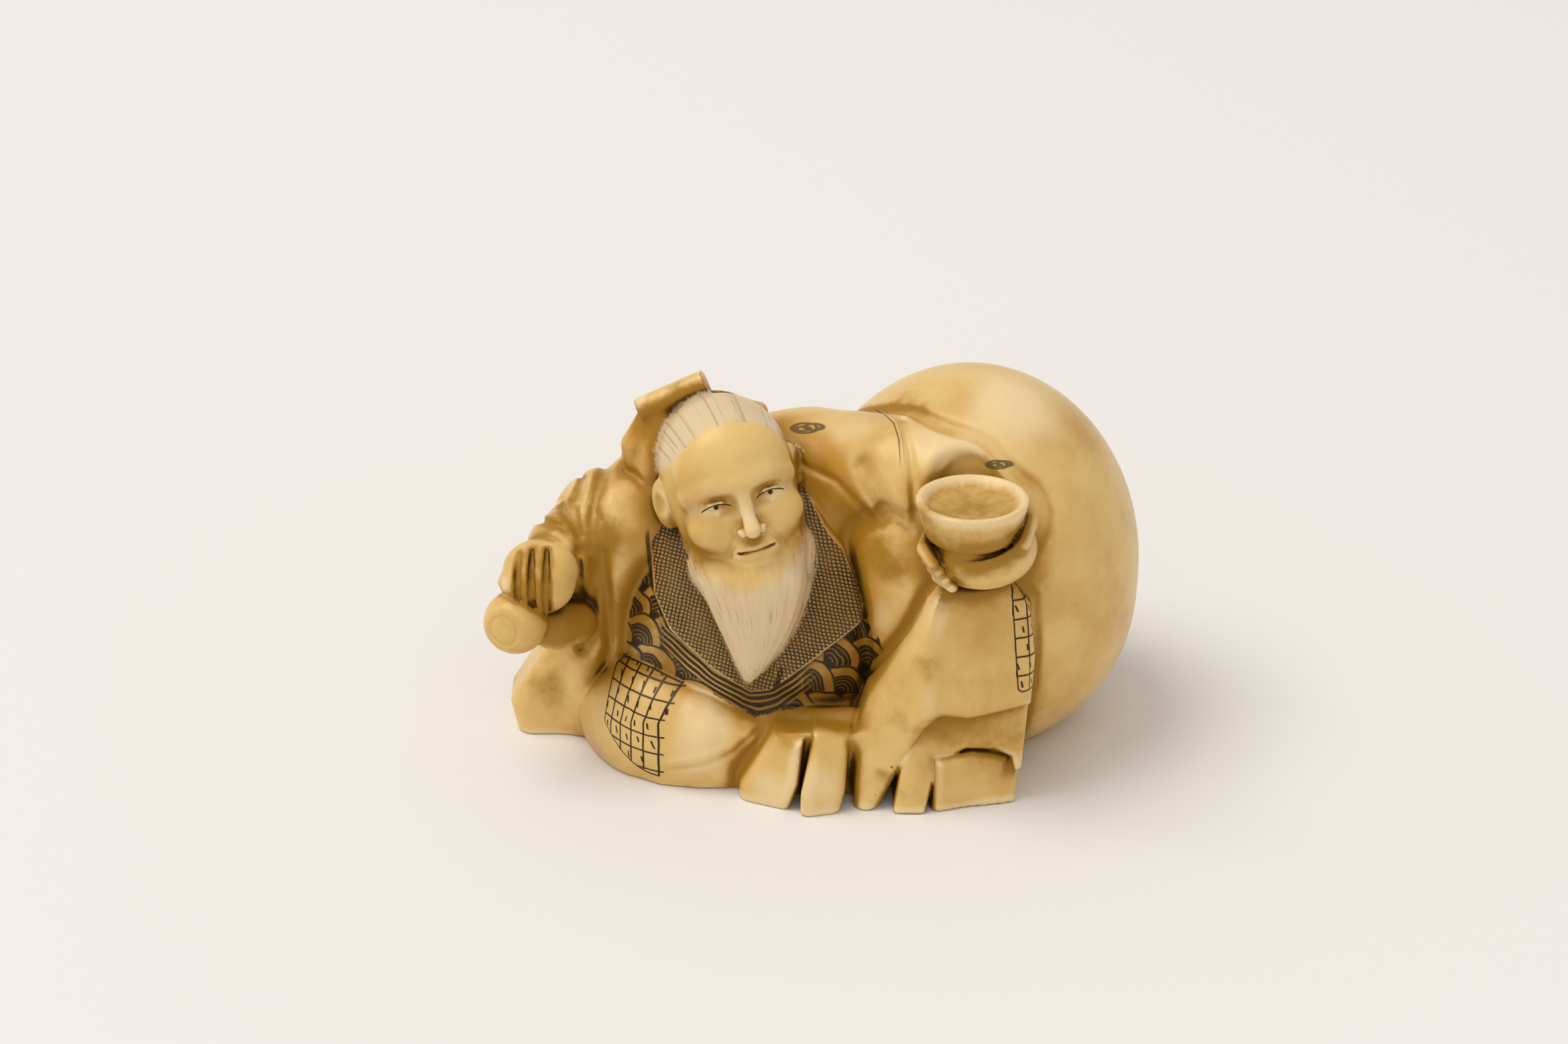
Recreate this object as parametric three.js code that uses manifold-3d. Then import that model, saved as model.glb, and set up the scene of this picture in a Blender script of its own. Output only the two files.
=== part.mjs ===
// A netsuke: a cord toggle carved from one piece of ivory, 48 mm long. A bearded sage sits leaning
// against a big full sack, a flask in his right hand and a wine cup in his left.
// Millimetres, +Z up, -Y is the side he faces, +X is his left. The flat underside is Z = 0.

import * as THREE from "three";
import { mergeVertices } from "three/addons/utils/BufferGeometryUtils.js";
import Module from "manifold-3d";

// Driving dimensions
const SACK_CENTRE = [11.6, 18, 12.3];
const SACK_RADII = [12.3, 13, 14.6]; // half width, half depth, half height of the full sack
const SACK_SAG = 0.08; // how much wider it settles below its middle, as a share
const CHEST_CENTRE = [-2.5, 16.2, 8.5];
const CHEST_RADII = [12.3, 9.9, 12.5];
const LAPEL = 0.8; // the wide collar stands this far off the chest
const HEAD_CENTRE = [-5.9, 12, 21.2]; // between the ears, at the height of the eyes
const HEAD_TURN = { nod: -13, tilt: -11, turn: 14 }; // degrees: chin up, over to his right, to his left
const HEAD_WIDTH = 9.4;
const CUP_CENTRE = [11.15, 6.5, 20.6];
const CUP_RIM = 4; // radius
const FLASK_START = [-21.1, 7.9, 12.2];
const FINGER = 0.52; // half a finger's thickness
const BEVEL = 0.35; // how far a sharp carved edge is eased
const CORD_HOLE = 1.5; // radius of the larger of the two cord holes
const IVORY = { color: 0xe9d3a2, roughness: 0.42, metalness: 0 };

const wasm = await Module();
wasm.setup();

// Solids from three.js geometry ---------------------------------------------------------------

// A three.js geometry as a closed solid, turned the right way out.
function solid(geometry) {
  const bare = new THREE.BufferGeometry().setAttribute("position", geometry.getAttribute("position"));
  if (geometry.index) bare.setIndex(geometry.index);
  const welded = mergeVertices(bare, 1e-4);
  const corners = welded.index.array;
  const faces = [];
  for (let i = 0; i < corners.length; i += 3) {
    const [a, b, c] = [corners[i], corners[i + 1], corners[i + 2]];
    if (a !== b && b !== c && c !== a) faces.push([a, b, c]);
  }
  const make = (order) =>
    new wasm.Manifold(
      new wasm.Mesh({
        numProp: 3,
        vertProperties: welded.getAttribute("position").array,
        triVerts: new Uint32Array(faces.flatMap(order)),
      }),
    );
  const made = make((face) => face);
  return made.volume() < 0 ? make(([a, b, c]) => [c, b, a]) : made;
}

// Moves every vertex of a geometry by a rule that takes and returns a Vector3.
function reshape(geometry, rule) {
  const places = geometry.getAttribute("position");
  const place = new THREE.Vector3();
  for (let i = 0; i < places.count; i++) {
    const moved = rule(place.fromBufferAttribute(places, i));
    places.setXYZ(i, moved.x, moved.y, moved.z);
  }
  return geometry;
}

// An egg: a sphere drawn out to three radii, its poles up and down, turned about Z by an angle.
function egg(centre, radii, turnDegrees = 0, sides = 14, rows = 9) {
  const geometry = new THREE.SphereGeometry(1, sides, rows)
    .rotateX(Math.PI / 2)
    .scale(...radii)
    .rotateZ(THREE.MathUtils.degToRad(turnDegrees))
    .translate(...centre);
  return solid(geometry);
}

// A limb: rings strung along a smooth curve through stations [x, y, z, radius], with round ends.
// It is thinned to the share `squash` along the direction `thin`.
function limb(stations, { squash = 1, thin = [0, 1, 0], sides = 10, steps = 2, cap = 2 } = {}) {
  const path = new THREE.CatmullRomCurve3(stations.map(([x, y, z]) => new THREE.Vector3(x, y, z)));
  const last = stations.length - 1;
  const radiusAt = (u) => {
    const i = Math.min(Math.floor(u), last - 1);
    return THREE.MathUtils.lerp(stations[i][3], stations[i + 1][3], u - i);
  };
  // Ring heights: below 0 and above `last` they lie on the round ends.
  const profile = [];
  for (let i = cap; i > 0; i--) {
    const lean = (i / cap) * (Math.PI / 2);
    profile.push(new THREE.Vector2(stations[0][3] * Math.cos(lean), -Math.sin(lean)));
  }
  for (let i = 0; i <= last * steps; i++) {
    profile.push(new THREE.Vector2(radiusAt(i / steps), i / steps));
  }
  for (let i = 1; i <= cap; i++) {
    const lean = (i / cap) * (Math.PI / 2);
    profile.push(new THREE.Vector2(stations[last][3] * Math.cos(lean), last + Math.sin(lean)));
  }
  profile[0].x = 0;
  profile[profile.length - 1].x = 0;
  const thinWay = new THREE.Vector3(...thin);
  return solid(
    reshape(new THREE.LatheGeometry(profile, sides), ({ x, y, z }) => {
      const u = THREE.MathUtils.clamp(y, 0, last);
      const along = path.getTangent(u / last);
      const across = thinWay.clone().addScaledVector(along, -thinWay.dot(along)).normalize();
      const beside = along.clone().cross(across);
      const overshoot = (y - u) * (u > 0 ? stations[last][3] : stations[0][3]);
      return path
        .getPoint(u / last)
        .addScaledVector(along, overshoot)
        .addScaledVector(across, x * squash)
        .addScaledVector(beside, z);
    }),
  );
}

// A carved plane of cloth: an outline of [x, z] corners, `depth` thick in Y, whose front face lies
// at y = front(x, z). Its edges are eased.
function slab(outline, depth, front, ease = BEVEL) {
  const shape = new THREE.Shape(outline.map(([x, z]) => new THREE.Vector2(x, z)));
  const geometry = new THREE.ExtrudeGeometry(shape, {
    depth: depth - 2 * ease,
    bevelThickness: ease,
    bevelSize: ease,
    bevelOffset: -ease,
    bevelSegments: 1,
  });
  return solid(
    reshape(geometry, ({ x, y, z }) => new THREE.Vector3(x, front(x, y) + ease + z, y)),
  );
}

// A turned form about an upright axis: a profile of [radius, height] that starts and ends on the axis.
function turned(centre, profile, sides = 24) {
  const points = profile.map(([radius, height]) => new THREE.Vector2(radius, height));
  return solid(new THREE.LatheGeometry(points, sides).rotateX(Math.PI / 2).translate(...centre));
}

const join = (...solids) => wasm.Manifold.union(solids);
const bothSides = (makeSide) => join(makeSide(1), makeSide(-1));

// The sack -----------------------------------------------------------------------------------

// A full round bag that has settled a little, so that it is widest below its middle.
function sack() {
  const ball = new THREE.SphereGeometry(1, 34, 21).rotateX(Math.PI / 2);
  const settled = reshape(ball, (place) => {
    const spread = 1 + SACK_SAG * Math.sin(Math.PI * Math.max(-place.z, 0)) ** 2;
    return new THREE.Vector3(place.x * spread, place.y * spread, place.z);
  });
  return solid(settled.scale(...SACK_RADII).translate(...SACK_CENTRE));
}

// The robe -----------------------------------------------------------------------------------

function trunk() {
  const chest = egg(CHEST_CENTRE, CHEST_RADII, 0, 22, 14);
  const back = egg([-3.5, 18.5, 12], [12.3, 8.3, 11], 0, 20, 12);
  const lap = slab([[-9, -1], [14, -1], [14, 5.5], [-9, 5.5]], 11, () => 5.2, 1);
  return join(chest, back, lap);
}

// The wide collar: the chest swollen by LAPEL, cut to the outline of the two crossing lapels.
function collar() {
  const swollen = egg(CHEST_CENTRE, CHEST_RADII.map((radius) => radius + LAPEL), 0, 28, 18);
  const edge = [
    [-12, 21], [-11.4, 13.4], [-10.3, 10.3], [-7, 7.9], [-3.6, 6.6],
    [0.5, 9], [3.9, 12.2], [3.9, 15.6], [2.2, 19], [-0.5, 22.3], [-6, 24],
  ];
  return swollen.intersect(slab(edge, 14, () => 0, 0.01));
}

function rightSleeve() {
  const shoulder = limb(
    [[-10.5, 17, 16.8, 5.1], [-14.3, 15.4, 15.9, 4.6], [-17.9, 12.2, 15.5, 2.9]],
    { sides: 16, cap: 3 },
  );
  const hanging = limb(
    [[-15.4, 13.4, 14, 3], [-15.6, 13.8, 8, 2.7], [-15.8, 14.6, 2, 2.6]],
    { sides: 12 },
  );
  const trailing = slab(
    [[-14.5, -1], [-21.6, -1], [-22.2, 2.2], [-19.8, 5.9], [-17.4, 8.6], [-14.5, 8]],
    5.6,
    () => 13.2,
    0.7,
  );
  return join(shoulder, hanging, trailing);
}

function leftSleeve() {
  const shoulder = limb(
    [[0.5, 18, 17.6, 6], [6.6, 15.2, 19.6, 5.2], [11.6, 11, 18.9, 4.5]],
    { sides: 18, cap: 3 },
  );
  const forearm = limb([[12, 10.8, 18.4, 4.3], [10.8, 8.4, 16.8, 3.2]], { sides: 12 });
  return join(shoulder, forearm);
}

// The right leg, folded on the ground under the robe: a full round thigh that narrows to the knee.
function foldedLeg() {
  const thigh = egg([-10.6, 11, 2.4], [7.6, 4.8, 5.3], -38, 20, 12);
  const knee = limb(
    [[-10.5, 9.6, 3.2, 4], [-7, 7.2, 4.6, 2.6], [-4.6, 5.5, 5.6, 0.9]],
    { sides: 14, cap: 3 },
  );
  return join(thigh, knee);
}

// The left leg, drawn up: cloth over the knee with its hem, the layer under it, and the shoe.
function raisedLeg() {
  const lean = (x, z) => 0.23 * (z - 7.3) + 0.17 * (x - 8) + 0.02 * (x - 11.8) ** 2;
  const overKnee = slab(
    [[8, 7.5], [11, 7], [15.6, 7.6], [15.9, 11], [15.7, 15], [14.2, 17], [9.4, 16.6], [8.6, 13]],
    6,
    (x, z) => 1.8 + lean(x, z),
    0.6,
  );
  const underHem = slab(
    [[8.6, 3.6], [11.4, 4.4], [14.2, 3.2], [14.4, 0.9], [15, 1.2], [15.5, 7.8], [8.3, 7.8]],
    6,
    (x, z) => 2.5 + lean(x, z),
    0.15,
  );
  const behindShoe = slab([[8.4, -1], [14.5, -1], [15, 5], [8.4, 5]], 5, (x, z) => 5.6 + lean(x, z));
  const shoe = slab(
    [[8.5, -1], [14, -1], [14.1, 2.9], [11.5, 3.7], [8.7, 3.3]],
    4,
    (x) => 1.5 + 0.34 * (x - 8.5),
    0.6,
  );
  return join(overKnee, underHem, behindShoe, shoe);
}

// The folds that fan from the lap to the ground between his knees.
function frontFolds() {
  const sweep = (x, z) =>
    0.55 * Math.max(7.8 - x, 0) * THREE.MathUtils.clamp(z / 9, 0, 1) + 0.2 * Math.max(z - 7, 0);
  const longFold = slab(
    [[9.2, 16.6], [8.4, 6.9], [6.3, 2.9], [4.3, -1], [3, -1], [2.9, 1.8], [4, 8], [5.6, 13]],
    4.8,
    (x, z) => 1.8 + sweep(x, z),
  );
  const behindIt = slab([[5.2, -1], [6.6, -1], [8.8, 4.8], [8.8, 7.2], [6, 7]], 4.6, () => 2.5, 0.2);
  const leftPleat = slab(
    [[-5.3, -1], [-1.9, -1], [-0.9, 2.3], [-0.9, 6.3], [-2.7, 6.5], [-5.2, 1.3]],
    4.5,
    (x, z) => 2.6 - 0.45 * (x + 3.4) + 0.03 * z * z,
  );
  const rightPleat = slab(
    [[-0.5, -1], [2.1, -1], [2.6, 1.6], [2.6, 6.6], [0.1, 6.7], [-0.5, 1.6]],
    5,
    (x, z) => 1 + 0.22 * x + 0.042 * z * z,
  );
  return join(longFold, behindIt, leftPleat, rightPleat);
}

// Hands, flask and cup -------------------------------------------------------------------------

// His right hand hangs over the waist of the flask, four fingers down its front and the thumb beside.
function rightHand() {
  const palm = egg([-19, 9.6, 15.1], [2.3, 1.8, 2.1], 0, 12, 8);
  const fingers = [0, 1, 2, 3].map((i) => {
    const x = -20.4 + i * 0.95;
    const y = 7.9 + i * 0.28;
    return limb(
      [[x, y + 0.5, 16.2, FINGER], [x, y - 0.1, 14.9, FINGER], [x + 0.15, y + 0.2, 13.2, FINGER * 0.85]],
      { sides: 6, steps: 1 },
    );
  });
  const thumb = limb([[-20.9, 9.4, 15.6, 0.7], [-21.6, 8.8, 14.6, 0.6]], { sides: 6, steps: 1 });
  return join(palm, ...fingers, thumb);
}

function flask() {
  const body = egg(FLASK_START, [2.4, 2.3, 2.3], 0, 16, 10);
  const waist = limb([[-19.4, 8.9, 11.7, 1.35], [-17.4, 9.9, 11.4, 1.75], [-15.5, 11, 11.2, 1.8]]);
  return join(body, waist);
}

function cup() {
  return turned(CUP_CENTRE, [
    [0, -2.4], [1.9, -2.4], [2.3, -0.7], [CUP_RIM - 0.7, 0.1], [CUP_RIM - 0.1, 1.1],
    [CUP_RIM, 2], [CUP_RIM - 0.55, 2.05], [CUP_RIM - 1, 1.45], [0, 1.35],
  ]);
}

// His left hand is held open under the cup, which stands in the hollow of the palm.
function leftHand() {
  const palm = egg([11.8, 6.9, 18.6], [3.9, 3.4, 2.9], 0, 18, 10);
  const hollow = egg([11.15, 6.5, 20.8], [3.7, 3.5, 2.2], 0, 18, 10);
  const fingers = [0, 1, 2].map((i) =>
    limb(
      [[9.3 + i * 0.3, 5 - i * 0.7, 16.9, 0.7], [7.9 + i * 0.5, 5 - i * 0.9, 18, 0.62],
        [7.7 + i * 0.6, 5.2 - i * 0.9, 19.2, 0.5]],
      { sides: 6, steps: 1 },
    ),
  );
  return join(palm.subtract(hollow), ...fingers);
}

// The head -------------------------------------------------------------------------------------
// Drawn upright about its own centre, then tilted and set on the shoulders.

function face() {
  const half = HEAD_WIDTH / 2;
  const skull = egg([0, 0.3, 1.5], [half, 5.5, 5], 0, 20, 14);
  const jaw = egg([0, -1.3, -2.2], [half - 0.35, 4.3, 5.2], 0, 18, 12);
  const forehead = egg([0, -3.1, 2], [half - 0.8, 2.3, 3.3]);
  const nose = limb([[0, -5.2, 0.5, 0.4], [0, -5.85, -1.2, 0.5], [0, -6.15, -2.15, 0.66]], { sides: 10 });
  const mouth = egg([0, -4.5, -3.9], [1.9, 1.1, 1.5], 0, 10, 7);
  const eachSide = bothSides((side) =>
    join(
      limb([[0, -5.2, 0.95, 0.5], [side * 2.2, -4.85, 1.2, 0.5], [side * 3.7, -3.7, 0.5, 0.4]], { sides: 6 }),
      egg([side * 1.95, -4.65, -0.1], [1.1, 0.75, 0.62], 0, 10, 6),
      egg([side * 0.78, -5.5, -2.3], [0.5, 0.6, 0.45], 0, 8, 6),
      egg([side * 2.7, -3.7, -1.8], [1.7, 1.3, 1.7], 0, 10, 7),
      limb(
        [[side * 4.75, 0.7, 1.2, 0.8], [side * 5.25, 0.6, -0.9, 0.75], [side * 4.9, 0, -3.2, 0.85]],
        { squash: 0.75, thin: [side, 0.3, 0], sides: 10 },
      ),
    ),
  );
  return join(skull, jaw, forehead, nose, mouth, eachSide);
}

// The long beard hangs to a point on his chest, parted into locks by three grooves.
function beard() {
  const mass = limb(
    [[0, -3.2, -4.6, 3.7], [-0.25, -4.3, -7.6, 3.3], [-1.2, -4.6, -11, 2.2], [-2.4, -4.6, -14.6, 0.75]],
    { squash: 0.6, sides: 16, cap: 3 },
  );
  const whiskers = egg([0, -2, -5], [4.45, 3.2, 2.6], 0, 16, 8);
  const grooves = [-1.4, 0, 1.4].map((x) =>
    limb([[x, -6.3, -6.4, 0.15], [x * 0.9 - 0.2, -6.5, -8.6, 0.25], [x * 0.4 - 1.2, -6, -12, 0.1]], { sides: 6 }),
  );
  return join(mass, whiskers).subtract(join(...grooves));
}

// The cloth cap covers the back of the head and is folded into a roll along its top.
function cap() {
  const cloth = egg([0, 0.8, 1.5], [HEAD_WIDTH / 2 + 0.45, 5.6, 5.35], 0, 20, 14);
  const front = solid(new THREE.BoxGeometry(20, 10, 20).rotateX(-0.34).translate(0, -4.4, 1.5));
  const below = solid(new THREE.BoxGeometry(20, 20, 10).translate(0, 0, -7.2));
  return cloth.subtract(join(front, below));
}

function capRoll() {
  const roll = limb([[-11.5, 15.2, 26.3, 0.8], [-9.8, 15.4, 26.9, 0.9], [-8.1, 15.6, 27.5, 1]], {});
  const tail = limb([[-11.9, 15.2, 25.8, 0.9], [-12.6, 15.2, 23, 1], [-11.5, 16, 19.5, 1.4]]);
  const tuck = limb([[-9, 16, 25.6, 1.6], [-5.6, 16.2, 25.7, 0.9], [-3.6, 15.4, 24.9, 0.75]]);
  return join(roll, tail, tuck);
}

function head() {
  const { nod, tilt, turn } = HEAD_TURN;
  const place = new THREE.Matrix4()
    .makeRotationFromEuler(new THREE.Euler(...[nod, tilt, turn].map(THREE.MathUtils.degToRad), "ZYX"))
    .setPosition(...HEAD_CENTRE);
  return join(face(), beard(), cap()).transform(place.elements).add(capRoll());
}

// Cuts -----------------------------------------------------------------------------------------

// Soft furrows where the cloth of the sleeves and the leg is drawn together.
function furrows() {
  return join(
    limb([[-13.5, 11.6, 20.6, 0.3], [-14.6, 10.6, 17, 0.5], [-14.2, 10.2, 13, 0.3]], { sides: 6 }),
    limb([[-17, 12, 19.6, 0.25], [-17.2, 10.2, 17.2, 0.4], [-15.6, 10.1, 13.8, 0.3]], { sides: 6 }),
    limb([[3.6, 10.2, 23.6, 0.3], [5.4, 9.4, 21, 0.6], [7.4, 8.2, 17.8, 0.35]], { sides: 6 }),
  );
}

// Two cord holes in the back that meet inside, as on every netsuke.
function cordHoles() {
  return limb(
    [[-10.5, 27, 9, CORD_HOLE * 0.8], [-8.5, 22.4, 8.6, CORD_HOLE * 0.8], [-5, 21, 8.4, CORD_HOLE],
      [-2, 23, 8.2, CORD_HOLE], [-1.5, 29, 8, CORD_HOLE]],
    { sides: 10, steps: 2, cap: 1 },
  );
}

// The whole carving ------------------------------------------------------------------------------

const ground = solid(new THREE.BoxGeometry(80, 80, 20).translate(0, 15, -10));
const carving = join(
  sack(), trunk(), collar(), rightSleeve(), leftSleeve(), foldedLeg(), raisedLeg(), frontFolds(),
  rightHand(), flask(), cup(), leftHand(), head(),
).subtract(join(furrows(), cordHoles(), ground));

const { vertProperties, triVerts } = carving.getMesh();
const geometry = new THREE.BufferGeometry()
  .setAttribute("position", new THREE.BufferAttribute(new Float32Array(vertProperties), 3))
  .setIndex(new THREE.BufferAttribute(new Uint32Array(triVerts), 1));
geometry.computeVertexNormals();
geometry.computeBoundingBox();

// The origin is the middle of the footprint, on the surface it stands on.
const middle = geometry.boundingBox.getCenter(new THREE.Vector3());
geometry.translate(-middle.x, -middle.y, 0);

const netsuke = new THREE.Mesh(geometry, new THREE.MeshStandardMaterial(IVORY));
netsuke.name = "netsuke";

const part = new THREE.Group();
part.add(netsuke);
export default part;
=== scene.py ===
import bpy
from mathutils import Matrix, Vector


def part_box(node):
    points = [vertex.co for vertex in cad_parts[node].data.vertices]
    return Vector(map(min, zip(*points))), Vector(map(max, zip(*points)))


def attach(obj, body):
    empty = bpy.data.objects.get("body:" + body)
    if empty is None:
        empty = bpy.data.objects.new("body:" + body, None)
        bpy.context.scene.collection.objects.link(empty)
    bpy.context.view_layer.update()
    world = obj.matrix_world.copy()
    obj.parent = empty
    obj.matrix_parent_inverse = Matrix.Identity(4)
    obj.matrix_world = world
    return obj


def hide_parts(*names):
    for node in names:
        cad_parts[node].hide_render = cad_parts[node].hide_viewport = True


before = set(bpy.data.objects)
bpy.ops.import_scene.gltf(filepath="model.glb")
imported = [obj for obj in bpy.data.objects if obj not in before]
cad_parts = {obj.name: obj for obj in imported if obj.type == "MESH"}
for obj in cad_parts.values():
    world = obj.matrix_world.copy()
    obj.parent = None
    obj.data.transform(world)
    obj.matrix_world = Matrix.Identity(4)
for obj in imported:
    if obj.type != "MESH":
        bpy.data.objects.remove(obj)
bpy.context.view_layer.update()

from concurrent.futures import ThreadPoolExecutor

import bpy
import numpy as np
from mathutils import Vector

# The camera stands in front of the carving and looks down on it a little, with a long lens, as for a
# catalogue. From here on the carving's own sizes are in millimetres: x to its left hand, y to the back,
# z up, and SHIFT carries them to the frame of the solid.
low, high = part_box("netsuke")
MM = 0.001
SHIFT = np.array([low.x / MM + 23.5, low.y / MM - 0.9, 0.0])
AIM, DISTANCE, DOWN = (-2.0, 15.5, 16.4), 317.0, np.radians(26)
camera = bpy.data.objects.new("camera", bpy.data.cameras.new("camera"))
bpy.context.scene.collection.objects.link(camera)
bpy.context.scene.camera = camera
camera.data.lens, camera.data.sensor_width = 100, 36
camera.data.clip_start, camera.data.clip_end = 0.01, 10
toward_camera = Vector((0, -np.cos(DOWN), np.sin(DOWN)))
camera.location = Vector((np.array(AIM) + SHIFT) * MM) + toward_camera * DISTANCE * MM
camera.rotation_mode = "QUATERNION"
camera.rotation_quaternion = toward_camera.to_track_quat("Z", "Y")

# The treasure sack he leans on, a third of the whole block: a full round form, rubbed smooth, a little
# heavier below its middle, with one short nick of a crease on the shoulder. Each form of the carving is
# a rule that gives the distance of a point from its surface, less than nothing inside it.
notes = {}  # name of a note: the rule that works it out for each point
spots_of_stain_and_shade = []  # spots of tea stain, and on the sack some of painted shade, as (x, y, z, reach, strength), rubbed pale where the strength is below 0
stained_lines = []  # (stations, reach, strength)
inks = []  # (colour, the pattern that it is laid on in)


def egg(p, centre, radii, turn=0.0):
    q = p - np.float32(centre)
    if turn:
        c, s = np.cos(np.radians(turn)), np.sin(np.radians(turn))
        q = np.stack([q[:, 0] * c + q[:, 1] * s, q[:, 1] * c - q[:, 0] * s, q[:, 2]], 1)
    r = np.float32(radii)
    reach = np.sqrt(((q / r) ** 2).sum(1))
    return reach * (reach - 1) / (np.sqrt(((q / r**2) ** 2).sum(1)) + 1e-6)


def blend(a, b, soft):
    """two forms run into one, with a soft inner corner"""
    overlap = np.maximum(soft - np.abs(a - b), 0) / soft
    return np.minimum(a, b) - overlap * overlap * soft / 4


def cut(a, b, soft):
    """the first form with the second one carved out of it"""
    return -blend(-a, b, soft)


def keep(a, b, soft):
    """what two forms share"""
    return -blend(-a, -b, soft)


def strand(p, stations, thin=None, share=1.0):
    """a round limb through (x, y, z, radius) stations, thinned along one direction if asked"""
    near = None
    for start, end in zip(stations[:-1], stations[1:]):
        a, b = np.float32(start[:3]), np.float32(end[:3])
        along = b - a
        t = np.clip(((p - a) @ along) / (along @ along), 0, 1)
        away = p - a - t[:, None] * along
        if thin is not None:
            n = np.float32(thin) / np.linalg.norm(thin)
            away = away + ((1 / share - 1) * (away @ n))[:, None] * n
        d = (np.sqrt((away * away).sum(1)) - (start[3] + (end[3] - start[3]) * t)) * share
        near = d if near is None else np.minimum(near, d)
    return near


SACK_CENTRE, SACK_RADII, SACK_SAG = (11.6, 18.0, 12.3), (12.5, 13.0, 14.6), 0.03
CREASE = [(8.3, 14.8, 26.5, 0.02), (7.7, 14.9, 26.3, 0.28), (7.0, 15.2, 25.7, 0.1)]


def sack(p):
    q = p - np.float32(SACK_CENTRE)
    drop = np.clip(-q[:, 2] / SACK_RADII[2], 0, 1)
    q[:, :2] /= (1 + SACK_SAG * np.sin(np.pi * drop) ** 2)[:, None]
    return cut(egg(q, (0, 0, 0), SACK_RADII), strand(p, CREASE), 0.25)


# The spots at (22.8, 17, 14), (17, 8.5, 3) and (19, 20, 2) are painted shade, on the sack's side away from
# the light and at its foot; the rest are stain and rubbing.
spots_of_stain_and_shade += [
    (14.3, 15, 26.3, 4.4, -1.0), (22.8, 17, 14, 5.5, 0.6), (15.7, 6.2, 16.1, 1.8, 0.6),
    (8.0, 14.8, 26.5, 1.0, 0.9), (6.2, 16.6, 25.9, 1.8, 0.8), (10.5, 15.6, 27, 1.8, 0.35),
    (5.2, 20, 25.5, 3.5, 0.35), (17, 8.5, 3, 5, 0.35), (19, 20, 2, 6, 0.3),
]

# The robe over his body: chest, back and lap, cut as one soft mass that everything else grows out of.
# Its folds are shallow gouges with rubbed edges, laid along lines given by x and the height that shows
# from the front and above.
CHEST, CHEST_RADII = (-2.5, 16.2, 8.5), (12.3, 9.9, 12.5)


def outline(x, z, corners):
    """how far a point of the plane lies outside a closed line of corners"""
    corners = np.float32(corners)
    near, inside = np.full(x.shape, 1e9, np.float32), np.zeros(x.shape, bool)
    for (x0, z0), (x1, z1) in zip(corners, np.roll(corners, 1, 0)):
        ex, ez, wx, wz = x1 - x0, z1 - z0, x - x0, z - z0
        t = np.clip((wx * ex + wz * ez) / (ex * ex + ez * ez), 0, 1)
        near = np.minimum(near, (wx - ex * t) ** 2 + (wz - ez * t) ** 2)
        inside ^= ((z0 > z) != (z1 > z)) & (wx < ex * wz / (ez + (1e-9 if ez == 0 else 0)))
    return np.where(inside, -1, 1) * np.sqrt(near)


def sheet(p, corners, front, depth, ease=0.3):
    """an upright slab behind an outline in x and z, with its edges eased"""
    flat = outline(p[:, 0], p[:, 2], corners) + ease
    slab = np.abs(p[:, 1] - front - depth / 2) - depth / 2 + ease
    return np.minimum(np.maximum(flat, slab), 0) + np.hypot(np.maximum(flat, 0), np.maximum(slab, 0)) - ease


def showing(p):
    """x, and the height that shows from the camera's slope"""
    return np.stack([p[:, 0], p[:, 2] * np.cos(DOWN) + p[:, 1] * np.sin(DOWN), 0 * p[:, 0]], 1)


def furrow(p, d, line, width, depth, behind=20):
    """a soft groove in a form along a line, or a ridge where depth is less than nothing"""
    away = strand(showing(p), [(x, v, 0, 0) for x, v in line])
    return d + depth * np.clip(behind - p[:, 1], 0, 1) * np.exp(-((away / width) ** 2))


def trunk(p):
    return blend(egg(p, CHEST, CHEST_RADII), egg(p, (-3.5, 18.5, 12.0), (12.3, 8.3, 11.0)), 2.0)


def chest_folds(p, d):
    """the edge of the left sleeve and the deep valley under it, and two soft folds on the belly"""
    d = furrow(p, d, [(3.6, 25.6), (4.7, 23.6), (5.8, 21.2), (6.9, 18.6)], 0.7, 0.45)
    d = furrow(p, d, [(-1.2, 25.9), (1.7, 24.5), (3.6, 22.6), (5.2, 20.4)], 0.3, 0.2)
    d = furrow(p, d, [(3.7, 17.6), (4.9, 15.4), (5.4, 12.4)], 0.45, 0.35)
    return furrow(p, d, [(5.2, 18.2), (6.1, 15.4), (6.2, 12.8)], 0.5, -0.2)


def lap(p):
    d = sheet(p, [(-9, -1), (14, -1), (14, 5.5), (-9, 5.5)], 5.2, 11, 1)
    return blend(d, strand(p, [(-3.4, 6.6, 5.5, 0.8), (-0.4, 6.0, 5.3, 0.75), (2.8, 5.6, 5.5, 0.85)]), 0.4)


spots_of_stain_and_shade += [
    (5.0, 10.5, 17.0, 2.0, 0.6), (7.0, 7.5, 16.5, 1.8, 0.9), (6.5, 6.5, 10, 3.0, 0.35),
    (-1.8, 6, 6.2, 1.2, 0.7), (0.2, 5.4, 6.0, 1.2, 0.7), (2.4, 5.2, 6.2, 1.5, 0.9),
    (5.2, 6.5, 12.2, 1.6, 0.5), (4.4, 8.2, 14.0, 0.9, 0.5),
]

# The broad collar, a raised band with a crisp edge that crosses low on the chest. It is cross-hatched
# with a fine graver, the lines rubbed with black, and a deep black line under its edge is ink and painted
# shadow.
LAPEL = 0.85
COLLAR = [
    (-12, 21), (-11.4, 13.7), (-10.2, 11.5), (-8.4, 10.2), (-7, 9.1), (-4.4, 7.6), (-3, 7.8), (-1, 9.3),
    (1, 10.8), (3.7, 12.5), (3.75, 13.4), (3.1, 15.6), (2.3, 17.4), (1, 18.8), (0, 20.3), (-1.5, 22.5),
    (-6, 24),
]
OVERLAP = -2.6


def swollen_chest(p):
    return egg(p, CHEST, np.float32(CHEST_RADII) + LAPEL)


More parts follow.
